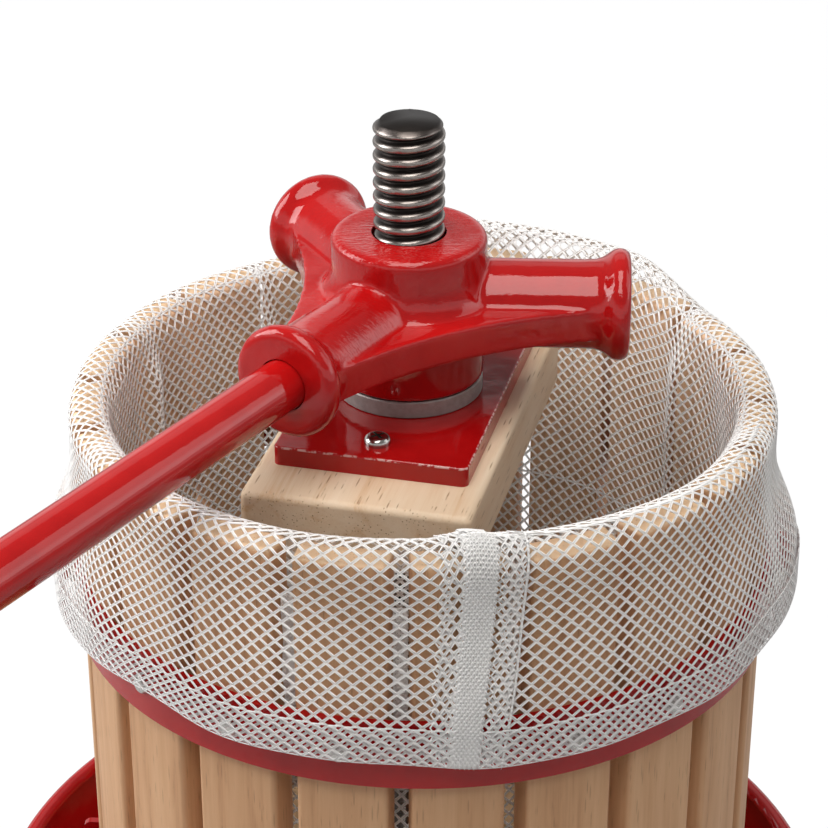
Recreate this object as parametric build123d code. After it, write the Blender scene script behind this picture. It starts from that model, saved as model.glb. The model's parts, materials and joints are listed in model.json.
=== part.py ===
"""Screw fruit press: a stave basket with a net bag, on a tray that stands on three legs.

Millimetres and degrees. The origin is on the floor under the screw's axis and +Z is up.
The tray's spout points along -Y, and +X is on the right of someone who faces the spout.
"""
import os
from math import cos, exp, radians, sin

from build123d import *

os.makedirs("parts", exist_ok=True)

BOTTOM_UP = (Align.CENTER, Align.CENTER, Align.MIN)
TOP_DOWN = (Align.CENTER, Align.CENTER, Align.MAX)

# Tray and legs
tray_floor_z = 150.0
tray_sheet = 2.0
tray_floor_r = 184.0
tray_rim_r = 192.0
tray_depth = 40.0
tray_corner_r = 8.0
tray_bead_r = 4.0
spout_r = 16.0
spout_drop = 0.8
spout_end_y = -252.0
leg_count = 3
leg_first_angle = 90.0
leg_width = 40.0
leg_thickness = 6.0
leg_inner_r = 27.0
spacer_r = 24.0
leg_knee_r = 194.0
leg_ankle_r = 240.0
leg_toe_r = 290.0
leg_bend_r = 22.0
foot_hole_at_r = 268.0
foot_hole_r = 4.5
base_plate_r = 62.0
base_plate_thickness = 10.0
tray_bolt_at_r = 168.0
base_bolt_at_r = 46.0
bolt_hole_r = 4.3
bolt_r = 4.0
bolt_flats = 13.0
bolt_head_height = 5.3
bolt_nut_height = 6.5
bolt_tail = 12.0
spindle_washer_r = 22.0
spindle_washer_thickness = 3.0
spindle_nut_flats = 36.0
spindle_nut_height = 19.0

# Clearances and broken edges
snug = 0.1
easy = 0.2
loose = 0.5
edge_break = 1.0

# Basket of staves and hoops; it stands loose, a little to the right of the screw
basket_shift_x = 5.9
basket_turn = -3.7
basket_r = 150.0
stave_count = 20
stave_length = 310.0
stave_thickness = 14.5
stave_width = 37.5
stave_round = 2.5
hoop_thickness = 3.5
hoop_height = 30.0
upper_hoop_drop = 69.5
lower_hoop_rise = 40.0
hoop_split = 6.0
hoop_ear_r = 161.6
hoop_bolt_at_r = 158.2
hoop_bolt_r = 2.5
hoop_bolt_flats = 8.0
hoop_bolt_head_height = 3.5
hoop_bolt_tail = 7.0
hoop_nut_height = 4.0
hoop_ear_round = 4.0
hoop_screw_r = 2.0
hoop_screw_length = 12.0
hoop_screw_head_r = 4.2
hoop_screw_head_height = 2.0

# Net bag as a thin skin
bag_skin = 1.0
bag_gap = 0.5
bag_rim_rise = 3.0
bag_flare_drop = 60.0
bag_hem_drop = 87.0
bag_hem_r = 157.5
bag_bulge = 7.5
bag_bulge_angle = 14.0
bag_shoulder_drop = 67.0
bag_hole_r = 31.0

# Screw
screw_pitch = 6.0
screw_r = 15.0
screw_root_r = 12.0
screw_tooth = ((0.0, 2.3), (1.0, 0.9))
screw_turns = 46
screw_rise = 122.0
screw_chamfer = 2.5
screw_shank_r = 14.4
screw_flange_r = 27.0
screw_flange_height = 8.0
screw_flange_round = 2.0
screw_stub_r = 12.0
screw_stub_end_z = 104.0
seal_height = 2.0

# Pressing head
plate_rise = 1.0
plate_width = 82.0
plate_length = 134.0
plate_thickness = 8.5
plate_corner_r = 3.0
plate_edge_round = 1.0
plate_screw_at = 53.7
plate_screw_r = 2.2
plate_screw_length = 30.0
plate_screw_head_r = 5.5
plate_screw_head_height = 3.6
head_turn = -14.0
block_width = 96.0
block_length = 184.0
block_thickness = 30.0
block_round = 3.0
block_hole_r = 27.0
washer_r = 31.5
washer_height = 7.5
sleeve_r = 19.5
sleeve_drop = 21.6
ring_r = 24.5
ring_thickness = 2.5
ring_groove_depth = 1.5
ring_split = 8.0

# Nut with its three lever sockets
hub_r = 32.4
hub_height = 64.2
hub_rim_round = 3.5
hub_foot_round = 1.5
arm_count = 3
arm_first_angle = -2.7
arm_rise = 32.4
arm_r = 18.5
arm_reach = 91.5
bead_r = 23.0
bead_at = 84.5
flare_from = 75.0
mouth_r = 16.5
socket_r = 11.1
socket_floor_at = 37.0
web_low = 23.4
web_thickness = 14.0
web_waist_r = 44.0
web_end_at = 82.0
web_end_half = 14.0
web_round = 4.0
foot_cone_r = 36.0
foot_cone_height = 8.0
thread_gap = 0.4
nut_bore_r = 15.7
nut_thread_skip = 29
nut_thread_turns = 6

# Lever
lever_r = 10.65
lever_bore_r = 8.05
lever_inner_end = 38.0
lever_outer_end = 430.0
plug_length = 20.0
plug_cap = 4.0

# Press boards
board_r = 126.0
board_thickness = 20.0
board_split = 4.0
board_hole_r = 30.0

# Levels worked out from the driving dimensions
tray_under_z = tray_floor_z - tray_sheet
tray_top_z = tray_under_z + tray_depth
leg_under_z = tray_under_z - leg_thickness
base_under_z = leg_under_z - base_plate_thickness
rim_z = tray_floor_z + stave_length
plate_top_z = rim_z + plate_rise
block_top_z = plate_top_z - plate_thickness
hub_bottom_z = plate_top_z + washer_height + snug
hub_top_z = hub_bottom_z + hub_height
arm_z = hub_bottom_z + arm_rise
sleeve_bottom_z = hub_bottom_z - sleeve_drop
ring_top_z = block_top_z - easy
screw_top_z = rim_z + screw_rise
thread_start_z = screw_top_z - screw_turns * screw_pitch
flange_bottom_z = tray_floor_z + seal_height
hoop_levels = {
    "upper": rim_z - upper_hoop_drop - hoop_height / 2,
    "lower": tray_floor_z + lower_hoop_rise + hoop_height / 2,
}

basket_frame = Pos(basket_shift_x, 0, 0) * Rot(0, 0, basket_turn)
leg_angles = [leg_first_angle + k * 360 / leg_count for k in range(leg_count)]
arm_angles = [arm_first_angle + k * 360 / arm_count for k in range(arm_count)]
lever_angle = arm_angles[2]


def save(name, *solids):
    """Write one node; a group of like fasteners is several solids in one file."""
    shape = solids[0] if len(solids) == 1 else Compound(children=list(solids))
    export_step(shape, f"parts/{name}.step")
    print(f"{name}: {len(solids)} x {solids[0].volume:.0f} mm3")


def turned(angle, shape):
    """The shape turned about the screw's axis."""
    return Rot(0, 0, angle) * shape


def ring(outer_r, inner_r, height, z):
    """A flat ring whose lower face is at z."""
    return Pos(0, 0, z) * (
        Cylinder(outer_r, height, align=BOTTOM_UP) - Cylinder(inner_r, height, align=BOTTOM_UP)
    )


def hex_bolt(shank_r, shank_length, flats, head_height):
    """A bolt along -Z with the underside of its head at the origin."""
    head = extrude(RegularPolygon(flats / 2, 6, major_radius=False), amount=head_height)
    head = chamfer(head.edges().group_by(Axis.Z)[-1], head_height / 8)
    return head + Cylinder(shank_r, shank_length, align=TOP_DOWN)


def hex_nut(bore_r, flats, height):
    """A nut that rests on the origin."""
    body = extrude(RegularPolygon(flats / 2, 6, major_radius=False), amount=height)
    body = chamfer(body.edges().group_by(Axis.Z)[-1], height / 10)
    return body - Cylinder(bore_r, height, align=BOTTOM_UP)


def thread(gap, turns, z):
    """Core with a helical tooth, both grown by a gap where it is the nut's hole."""
    foot_r = screw_root_r - loose
    helix = Helix(pitch=screw_pitch, height=screw_pitch * turns, radius=foot_r)
    left = []
    right = []
    for share, half_width in screw_tooth:
        height = share * (screw_r - foot_r) + (gap if share > 0 else 0)
        left.append((height, -half_width - gap))
        right.append((height, half_width + gap))
    outline = make_face(Polyline(*left, *reversed(right), close=True))
    start = Plane(helix @ 0, x_dir=(1, 0, 0), z_dir=helix % 0)
    tooth = sweep(start * outline, path=helix, is_frenet=True)
    core = Cylinder(screw_root_r + gap, screw_pitch * turns, align=BOTTOM_UP)
    return Pos(0, 0, z) * (core + tooth).solid()


def tray():
    """Pressed pan with a rolled rim and an open trough for a spout."""
    outline = Polyline(
        (0, tray_under_z),
        (tray_floor_r, tray_under_z),
        (tray_rim_r, tray_top_z),
        (0, tray_top_z),
        close=True,
    )
    hollow = Polyline(
        (0, tray_floor_z),
        (tray_floor_r - tray_sheet, tray_floor_z),
        (tray_rim_r - tray_sheet, tray_top_z),
        (0, tray_top_z),
        close=True,
    )

    def bowl(line, corner_r):
        face = make_face(line)
        corner = face.vertices().sort_by(Axis.Y)[:2].sort_by(Axis.X)[-1]
        return revolve(Plane.XZ * fillet(corner, corner_r), Axis.Z)

    bead = Pos(0, 0, tray_top_z) * Torus(tray_rim_r - tray_sheet / 2, tray_bead_r)
    channel_r = spout_r - tray_sheet
    trough_z = tray_floor_z + channel_r - spout_drop
    trough_start_y = -tray_floor_r
    trough_length = trough_start_y - spout_end_y
    lay = Pos(0, trough_start_y, trough_z) * Rot(90, 0, 0)
    trough = lay * Cylinder(spout_r, trough_length, align=BOTTOM_UP)
    lid = Pos(0, (-tray_rim_r - tray_bead_r + spout_end_y) / 2, trough_z) * Box(
        2 * spout_r, -tray_rim_r - tray_bead_r - spout_end_y, 2 * spout_r, align=BOTTOM_UP
    )
    channel = Pos(0, trough_start_y + 4 * tray_sheet, trough_z) * Rot(90, 0, 0) * Cylinder(
        channel_r, trough_length + 8 * tray_sheet, align=BOTTOM_UP
    )
    pan = bowl(outline, tray_corner_r) + (trough - lid) + bead
    pan = pan - bowl(hollow, tray_corner_r - tray_sheet) - channel
    pan -= Cylinder(screw_stub_r + loose, 2 * tray_floor_z)
    for angle in leg_angles:
        pan -= turned(angle, Pos(tray_bolt_at_r, 0, tray_floor_z) * Cylinder(bolt_hole_r, 4 * tray_sheet))
    return pan


def leg():
    """Flat bar bent down from under the tray to a foot with a bolt hole, along +X."""
    bar_z = tray_under_z - leg_thickness / 2
    route = Plane.XZ * FilletPolyline(
        (leg_inner_r, bar_z),
        (leg_knee_r, bar_z),
        (leg_ankle_r, leg_thickness / 2),
        (leg_toe_r, leg_thickness / 2),
        radius=leg_bend_r,
    )
    start = Plane(route @ 0, x_dir=(0, 1, 0), z_dir=route % 0)
    bar = sweep(start * Rectangle(leg_width, leg_thickness), route)
    toe_edges = bar.edges().filter_by(Axis.Z).group_by(Axis.X)[-1]
    bar = fillet(toe_edges, leg_width / 4)
    for at_r in (tray_bolt_at_r, base_bolt_at_r):
        bar -= Pos(at_r, 0, bar_z) * Cylinder(bolt_hole_r, 2 * leg_thickness)
    return bar - Pos(foot_hole_at_r, 0, 0) * Cylinder(foot_hole_r, 4 * leg_thickness)


def base_plate():
    """Round plate under the legs' inner ends, which takes the pull of the screw."""
    plate = ring(base_plate_r, screw_stub_r + loose, base_plate_thickness, base_under_z)
    for angle in leg_angles:
        hole = Pos(base_bolt_at_r, 0, base_under_z) * Cylinder(bolt_hole_r, 4 * leg_thickness)
        plate -= turned(angle, hole)
    return chamfer(plate.edges().filter_by(GeomType.CIRCLE).sort_by(SortBy.RADIUS)[-2:], edge_break)


def spindle():
    """Screw with a plain shank, a flange that stands on the tray and a stub for its nut."""
    top_cone = Pos(0, 0, screw_top_z) * Cone(
        2 * screw_r - screw_chamfer, screw_r - screw_chamfer, screw_r, align=TOP_DOWN
    )
    below = Pos(0, 0, screw_top_z - screw_r) * Cylinder(
        2 * screw_r, screw_pitch * screw_turns, align=TOP_DOWN
    )
    screw = (thread(0, screw_turns + 1, thread_start_z) & (top_cone + below)).solid()
    shank_z = flange_bottom_z + screw_flange_height
    shank_length = thread_start_z + screw_pitch - shank_z
    shank = Pos(0, 0, shank_z) * Cylinder(screw_shank_r, shank_length, align=BOTTOM_UP)
    flange = Pos(0, 0, flange_bottom_z) * Cylinder(screw_flange_r, screw_flange_height, align=BOTTOM_UP)
    flange = fillet(flange.edges().group_by(Axis.Z)[-1], screw_flange_round)
    stub = Pos(0, 0, screw_stub_end_z) * Cylinder(
        screw_stub_r, flange_bottom_z - screw_stub_end_z, align=BOTTOM_UP
    )
    stub = chamfer(stub.edges().group_by(Axis.Z)[0], edge_break)
    return (stub + flange + shank + screw).solid()


def stave():
    """One stave in the basket's own frame, along +X, planed to the hoops' curve."""
    wall = Cylinder(basket_r, stave_length, align=BOTTOM_UP)
    wall -= Cylinder(basket_r - stave_thickness, stave_length, align=BOTTOM_UP)
    slab = Box(basket_r, stave_width, stave_length, align=(Align.MIN, Align.CENTER, Align.MIN))
    body = (wall & slab).solid()
    top = body.edges().group_by(Axis.Z)[-1]
    long_edges = body.edges().filter_by(Axis.Z)
    body = fillet(top + long_edges, stave_round)
    body = Pos(0, 0, tray_floor_z) * body
    for mid_z in hoop_levels.values():
        body -= Pos(basket_r, 0, mid_z) * Rot(0, 90, 0) * Cylinder(
            hoop_screw_r + snug, 2 * (hoop_screw_length + snug)
        )
    return body


def stave_angles():
    """Middles of the staves; the hoops split at the gaps on +X and -X."""
    step = 360 / stave_count
    return [(k + 0.5) * step for k in range(stave_count)]


def hoop_half(mid_z, side):
    """Half a hoop, with an ear at each end: side +1 is the rear half, -1 the front half."""
    outer_r = basket_r + hoop_thickness
    band = ring(outer_r, basket_r, hoop_height, mid_z - hoop_height / 2)
    keep = Pos(0, side * (outer_r + hoop_split / 2), mid_z) * Box(
        4 * basket_r, 2 * outer_r, 2 * hoop_height
    )
    half = band & keep
    ear_length = hoop_ear_r - basket_r - edge_break
    for end in (-1, 1):
        ear_x = end * (hoop_ear_r - ear_length / 2)
        ear_y = side * (hoop_split + hoop_thickness) / 2
        ear = Pos(ear_x, ear_y, mid_z) * Box(ear_length, hoop_thickness, hoop_height)
        outer_corners = ear.edges().filter_by(Axis.Y).sort_by(lambda edge: end * edge.center().X)[-2:]
        ear = fillet(outer_corners, hoop_ear_round)
        half += ear
        half -= Pos(end * hoop_bolt_at_r, 0, mid_z) * Rot(90, 0, 0) * Cylinder(
            hoop_bolt_r + easy, 8 * hoop_split
        )
    for angle in stave_angles():
        half -= turned(angle, Pos(basket_r, 0, mid_z) * Rot(0, 90, 0) * Cylinder(
            hoop_screw_r + snug, 4 * hoop_thickness
        ))
    return half.solid()


def hoop_screws(mid_z):
    """One domed screw per stave, through the hoop into the wood."""
    start_r = basket_r + hoop_thickness
    dome = Cylinder(hoop_screw_head_r, hoop_screw_head_height, align=BOTTOM_UP)
    dome = fillet(dome.edges().group_by(Axis.Z)[-1], 0.75 * hoop_screw_head_height)
    screw = dome + Cylinder(hoop_screw_r, hoop_screw_length, align=TOP_DOWN)
    lay = Pos(start_r, 0, mid_z) * Rot(0, 90, 0)
    return [basket_frame * turned(angle, lay * screw) for angle in stave_angles()]


def hoop_fasteners():
    """Bolts and nuts that close the four splits of the two hoops."""
    grip = hoop_split / 2 + hoop_thickness
    bolt = hex_bolt(hoop_bolt_r, 2 * grip + hoop_bolt_tail, hoop_bolt_flats, hoop_bolt_head_height)
    nut = hex_nut(hoop_bolt_r + snug, hoop_bolt_flats, hoop_nut_height)
    bolts = []
    nuts = []
    for mid_z in hoop_levels.values():
        for end in (-1, 1):
            place = Pos(end * hoop_bolt_at_r, 0, mid_z)
            bolts.append(basket_frame * place * Pos(0, -grip, 0) * Rot(90, 0, 0) * bolt)
            nuts.append(basket_frame * place * Pos(0, grip, 0) * Rot(-90, 0, 0) * nut)
    return bolts, nuts


def bag_outline(z, r):
    """Closed outline of the bag's skirt, pushed out where it hangs over the hoops' ears."""
    points = []
    steps = 48
    for k in range(steps):
        angle = 360 * k / steps
        off_ear = min(abs(angle - ear) for ear in (0, 180, 360))
        reach = r + bag_bulge * exp(-((off_ear / bag_bulge_angle) ** 2))
        points.append((reach * cos(radians(angle)), reach * sin(radians(angle))))
    return Pos(0, 0, z) * make_face(Spline(*points, periodic=True)).face()


def skirt(inset):
    """Filled lower skirt, from just above the hoop down to the hem."""
    top_r = basket_r + bag_gap + bag_skin - inset
    hem_r = bag_hem_r - inset
    top = Pos(0, 0, rim_z - bag_flare_drop) * Circle(top_r).face()
    shoulder = bag_outline(rim_z - bag_shoulder_drop, hem_r)
    hem = bag_outline(rim_z - bag_hem_drop, hem_r)
    return Solid.make_loft([face.outer_wire() for face in (top, shoulder, hem)], ruled=True)


def bag():
    """Skin of the net bag: bottom, inner wall, fold over the rim and skirt outside."""
    lining_r = basket_r - stave_thickness - bag_gap
    inside_r = lining_r - bag_skin
    wall_r = basket_r + bag_gap
    outside_r = wall_r + bag_skin
    bottom_z = tray_floor_z + bag_gap
    fold_z = rim_z + bag_rim_rise
    flare_z = rim_z - bag_flare_drop
    profile = Polyline(
        (0, bottom_z),
        (lining_r, bottom_z),
        (lining_r, fold_z),
        (wall_r, fold_z),
        (wall_r, flare_z),
        (outside_r, flare_z),
        (outside_r, fold_z + bag_skin),
        (inside_r, fold_z + bag_skin),
        (inside_r, bottom_z + bag_skin),
        (0, bottom_z + bag_skin),
        close=True,
    )
    skin = revolve(Plane.XZ * make_face(profile), Axis.Z).solid()
    skin = skin.fuse(skirt(0) - skirt(bag_skin))
    hole = Pos(0, 0, bottom_z) * Cylinder(bag_hole_r, 4 * bag_skin)
    return (basket_frame * skin - hole).solid()


def press_board(side):
    """Half-round board that lies in the bag: side -1 is the left one."""
    z = tray_floor_z + 2 * bag_gap + bag_skin
    disc = Pos(0, 0, z) * Cylinder(board_r, board_thickness, align=BOTTOM_UP)
    disc -= Pos(0, 0, z) * Cylinder(board_hole_r, board_thickness, align=BOTTOM_UP)
    keep = Pos(side * (board_r + board_split / 2), 0, z) * Box(
        2 * board_r, 2 * board_r, board_thickness, align=BOTTOM_UP
    )
    half = (disc & keep).solid()
    rims = half.edges().filter_by(GeomType.CIRCLE).sort_by(SortBy.RADIUS)[-2:]
    return fillet(rims, block_round)


def block():
    """Wooden block between the plate and the boards, bored for the screw."""
    body = Pos(0, 0, block_top_z) * Box(block_width, block_length, block_thickness, align=TOP_DOWN)
    body = fillet(body.edges(), block_round)
    body -= Pos(0, 0, block_top_z) * Cylinder(block_hole_r, 4 * block_thickness)
    for side in (-1, 1):
        body -= Pos(0, side * plate_screw_at, block_top_z) * Cylinder(
            plate_screw_r + snug, 2 * (plate_screw_length - plate_thickness + edge_break)
        )
    return turned(head_turn, body)


def plate():
    """Steel plate that takes the thrust of the nut."""
    body = Pos(0, 0, plate_top_z) * Box(plate_width, plate_length, plate_thickness, align=TOP_DOWN)
    body = fillet(body.edges().filter_by(Axis.Z), plate_corner_r)
    body = fillet(body.edges().group_by(Axis.Z)[-1], plate_edge_round)
    body -= Pos(0, 0, plate_top_z) * Cylinder(sleeve_r + loose, 4 * plate_thickness)
    for side in (-1, 1):
        body -= Pos(0, side * plate_screw_at, plate_top_z) * Cylinder(
            plate_screw_r + easy, 4 * plate_thickness
        )
    return turned(head_turn, body)


def plate_screws():
    """Pan-head screws with a cross recess, front and rear."""
    head = Cylinder(plate_screw_head_r, plate_screw_head_height, align=BOTTOM_UP)
    head = fillet(head.edges().group_by(Axis.Z)[-1], 0.7 * plate_screw_head_height)
    slot_length = 1.1 * plate_screw_head_r
    slot_width = 0.22 * plate_screw_head_r
    for turn in (45, 135):
        head -= Pos(0, 0, plate_screw_head_height) * Rot(0, 0, turn) * Box(
            slot_length, slot_width, plate_screw_head_height
        )
    screw = head + Cylinder(plate_screw_r, plate_screw_length, align=TOP_DOWN)
    return [
        turned(head_turn, Pos(0, side * plate_screw_at, plate_top_z) * screw) for side in (-1, 1)
    ]


def thrust_washer():
    """Turned ring between the plate and the nut."""
    body = ring(washer_r, sleeve_r + loose, washer_height, plate_top_z)
    return chamfer(body.edges().filter_by(GeomType.CIRCLE).sort_by(SortBy.RADIUS)[-2:], edge_break / 2)


def retaining_ring():
    """Split ring in the sleeve's groove, which carries the plate and block."""
    body = ring(ring_r, sleeve_r - ring_groove_depth + snug, ring_thickness, ring_top_z - ring_thickness)
    return (body - Pos(ring_r, 0, ring_top_z) * Box(2 * ring_r, ring_split, 4 * ring_thickness)).solid()


def arm():
    """Tubular arm along +X with a rounded bead round its mouth."""
    profile = make_face(
        [
            Line((0, 0), (0, arm_r)),
            Line((0, arm_r), (flare_from, arm_r)),
            Spline((flare_from, arm_r), (bead_at, bead_r), tangents=[(1, 0), (1, 0)]),
            Spline((bead_at, bead_r), (arm_reach, mouth_r), tangents=[(1, 0), (0, -1)]),
            Line((arm_reach, mouth_r), (arm_reach, 0)),
            Line((arm_reach, 0), (0, 0)),
        ]
    )
    return Pos(0, 0, arm_z) * revolve(profile, Axis.X)


def web():
    """Plate between the arms with three hollow edges."""
    edges = []
    half_step = 180 / arm_count
    starts = []
    ends = []
    for angle in arm_angles:
        along = Vector(web_end_at, 0).rotate(Axis.Z, angle)
        aside = Vector(0, web_end_half).rotate(Axis.Z, angle)
        starts.append(along + aside)
        ends.append(along - aside)
    for k, angle in enumerate(arm_angles):
        waist = Vector(web_waist_r, 0).rotate(Axis.Z, angle + half_step)
        following = ends[(k + 1) % arm_count]
        edges.append(ThreePointArc(starts[k], waist, following))
        edges.append(Line(following, starts[(k + 1) % arm_count]))
    body = Pos(0, 0, hub_bottom_z + web_low) * extrude(make_face(edges), amount=web_thickness)
    hollow_edges = body.edges().filter_by(GeomType.CIRCLE)
    return fillet(hollow_edges, web_round)


def nut_hub():
    """Cast nut: boss, arms, web and sleeve, with the sockets, and a thread between two plain bores."""
    boss = Pos(0, 0, hub_bottom_z) * Cylinder(hub_r, hub_height, align=BOTTOM_UP)
    boss = fillet(boss.edges().group_by(Axis.Z)[-1], hub_rim_round)
    boss = fillet(boss.edges().group_by(Axis.Z)[0], hub_foot_round)
    cone = Pos(0, 0, hub_bottom_z + web_low + web_thickness) * Cone(
        foot_cone_r, hub_r, foot_cone_height, align=BOTTOM_UP
    )
    sleeve = Pos(0, 0, sleeve_bottom_z) * Cylinder(sleeve_r, sleeve_drop, align=BOTTOM_UP)
    groove_z = ring_top_z - ring_thickness - snug
    groove = ring(ring_r, sleeve_r - ring_groove_depth, ring_thickness + 2 * snug, groove_z)
    hub = boss + cone + web() + (sleeve - groove)
    for angle in arm_angles:
        hub += turned(angle, arm())
    for angle in arm_angles:
        mouth = Pos(socket_floor_at, 0, arm_z) * Rot(0, 90, 0)
        hub -= turned(angle, mouth * Cylinder(socket_r, arm_reach, align=BOTTOM_UP))
    cut_z = thread_start_z + nut_thread_skip * screw_pitch
    cut_top_z = cut_z + nut_thread_turns * screw_pitch
    hub -= thread(thread_gap, nut_thread_turns + 2, cut_z - screw_pitch)
    hub -= Pos(0, 0, cut_z) * Cylinder(nut_bore_r, 2 * hub_height, align=TOP_DOWN)
    hub -= Pos(0, 0, cut_top_z) * Cylinder(nut_bore_r, 2 * hub_height, align=BOTTOM_UP)
    return hub.solid()


def lever():
    """Tube that goes into the front left socket, and the cap in its outer end."""
    length = lever_outer_end - lever_inner_end
    lay = Pos(0, 0, arm_z) * Rot(0, 90, 0)
    tube = Pos(0, 0, lever_inner_end) * (
        Cylinder(lever_r, length, align=BOTTOM_UP) - Cylinder(lever_bore_r, length, align=BOTTOM_UP)
    )
    stem_r = lever_bore_r - snug / 2
    stem = Pos(0, 0, lever_outer_end - plug_length) * Cylinder(stem_r, plug_length, align=BOTTOM_UP)
    cap = Pos(0, 0, lever_outer_end) * Cylinder(lever_r, plug_cap, align=BOTTOM_UP)
    cap = fillet(cap.edges().group_by(Axis.Z)[-1], 0.6 * plug_cap)
    return turned(lever_angle, lay * tube), turned(lever_angle, lay * (stem + cap))


def base():
    """Tray, legs and what fastens the screw to them."""
    save("tray", tray())
    leg_names = ("rear", "left", "right")
    one_leg = leg()
    for name, angle in zip(leg_names, leg_angles):
        save(f"leg_{name}", turned(angle, one_leg))
    save("base_plate", base_plate())
    save("centre_spacer", ring(spacer_r, screw_stub_r + loose, leg_thickness, leg_under_z))
    grip = tray_sheet + leg_thickness
    tray_bolt = Pos(tray_bolt_at_r, 0, tray_floor_z) * hex_bolt(
        bolt_r, grip + bolt_tail, bolt_flats, bolt_head_height
    )
    tray_nut = Pos(tray_bolt_at_r, 0, leg_under_z) * Rot(180, 0, 0) * hex_nut(
        bolt_r + snug, bolt_flats, bolt_nut_height
    )
    base_bolt = Pos(base_bolt_at_r, 0, base_under_z) * Rot(180, 0, 0) * hex_bolt(
        bolt_r, base_plate_thickness + leg_thickness - loose, bolt_flats, bolt_head_height
    )
    save("leg_bolts", *[turned(angle, tray_bolt) for angle in leg_angles])
    save("leg_nuts", *[turned(angle, tray_nut) for angle in leg_angles])
    save("base_bolts", *[turned(angle, base_bolt) for angle in leg_angles])
    save("spindle", spindle())
    save("spindle_seal", ring(screw_flange_r, screw_stub_r + loose, seal_height, tray_floor_z))
    washer_z = base_under_z - spindle_washer_thickness
    washer = ring(spindle_washer_r, screw_stub_r + loose, spindle_washer_thickness, washer_z)
    save("spindle_washer", washer)
    nut = hex_nut(screw_stub_r + snug, spindle_nut_flats, spindle_nut_height)
    save("spindle_nut", Pos(0, 0, washer_z) * Rot(180, 0, 0) * nut)


def basket():
    """Staves, hoops and their fasteners, the bag and the loose boards."""
    one_stave = stave()
    for number, angle in enumerate(stave_angles(), start=1):
        save(f"stave_{number:02d}", basket_frame * turned(angle, one_stave))
    for name, mid_z in hoop_levels.items():
        save(f"{name}_hoop_front", basket_frame * hoop_half(mid_z, -1))
        save(f"{name}_hoop_rear", basket_frame * hoop_half(mid_z, 1))
        save(f"{name}_hoop_screws", *hoop_screws(mid_z))
    bolts, nuts = hoop_fasteners()
    save("hoop_bolts", *bolts)
    save("hoop_nuts", *nuts)
    save("press_bag", bag())
    save("press_board_left", press_board(-1))
    save("press_board_right", press_board(1))


def head():
    """Everything that travels on the screw."""
    save("pressure_block", block())
    save("pressure_plate", plate())
    save("plate_screws", *plate_screws())
    save("thrust_washer", thrust_washer())
    save("retaining_ring", retaining_ring())
    save("nut_hub", nut_hub())
    tube, plug = lever()
    save("lever", tube)
    save("lever_plug", plug)


base()
basket()
head()
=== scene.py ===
# %% [markdown]
# # A fruit press, seen from above its basket
#
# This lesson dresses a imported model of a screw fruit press. The rigid parts come in as solids, and
# four things are made here because they are looks: the cast shape of the nut, the rolled thread of
# the screw, the net bag that hangs over the staves, and the finish of every surface.

# %% Load the frame
import json
import math

import bpy
import numpy as np
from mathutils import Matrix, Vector


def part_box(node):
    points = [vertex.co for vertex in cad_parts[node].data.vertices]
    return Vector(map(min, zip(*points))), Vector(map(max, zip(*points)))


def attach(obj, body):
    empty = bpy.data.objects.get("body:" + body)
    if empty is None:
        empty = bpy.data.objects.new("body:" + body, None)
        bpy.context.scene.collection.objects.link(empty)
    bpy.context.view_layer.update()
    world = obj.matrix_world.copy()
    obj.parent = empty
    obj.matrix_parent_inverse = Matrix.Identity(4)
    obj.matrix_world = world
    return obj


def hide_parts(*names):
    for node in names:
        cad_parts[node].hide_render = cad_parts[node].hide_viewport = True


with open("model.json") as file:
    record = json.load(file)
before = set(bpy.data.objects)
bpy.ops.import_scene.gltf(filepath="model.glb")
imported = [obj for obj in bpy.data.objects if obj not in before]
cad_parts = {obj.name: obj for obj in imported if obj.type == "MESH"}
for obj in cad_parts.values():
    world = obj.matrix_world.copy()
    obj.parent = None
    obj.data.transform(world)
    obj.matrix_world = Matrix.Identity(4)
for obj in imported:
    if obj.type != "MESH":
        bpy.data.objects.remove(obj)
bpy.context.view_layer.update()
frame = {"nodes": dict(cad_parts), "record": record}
nodes = frame["nodes"]
bpy.ops.object.select_all(action="DESELECT")

# %% [markdown]
# ## The places that everything is measured from
#
# The origin is on the floor under the screw. The staves' tops are the level that the photograph
# shows best, so heights in the bag are counted from there. The basket stands a few millimetres to
# the right of the screw, and is turned a little, as a loose basket is.

# %% Levels and centres
MM = 0.001
rim_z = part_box("stave_01")[1].z
basket_x = 5.9 * MM
basket_turn = math.radians(-3.7)
stave_outer_r = 150.0 * MM
stave_inner_r = 135.5 * MM
first_arm_degrees = -2.7
arm_angles = [math.radians(first_arm_degrees + 120.0 * k) for k in range(3)]
hub_low, hub_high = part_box("nut_hub")
washer_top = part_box("thrust_washer")[1].z
lever_low, lever_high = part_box("lever")
arm_z = (lever_low.z + lever_high.z) / 2
print(f"rim {rim_z:.4f} m, nut from {hub_low.z:.4f} to {hub_high.z:.4f} m, arms at {arm_z:.4f} m")

# %% [markdown]
# ## The camera
#
# A product photographer stands a little back with a long lens, so that the rim of the basket stays
# nearly a true ellipse. The place, the tilt and the lens were worked out from the rim, the nut and
# the lever. A wider lens from nearer would show the same pieces, but would swell the front staves.

# %% Set the camera
camera_back = 1.0
camera_rise = 0.51663
camera_tilt = math.radians(62.08)
picture_shift, picture_width = 5.0, 828.0
bpy.ops.object.camera_add(
    location=(0.0, -camera_back, rim_z + camera_rise), rotation=(camera_tilt, 0.0, 0.0)
)
camera = bpy.context.object
camera.name = "photo_camera"
camera.data.sensor_width = 36.0
camera.data.lens = 114.13
camera.data.shift_x = picture_shift / picture_width
camera.data.clip_start = 0.01
camera.data.clip_end = 100.0
bpy.context.scene.camera = camera
print("camera at", [round(v, 3) for v in camera.location])

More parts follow.
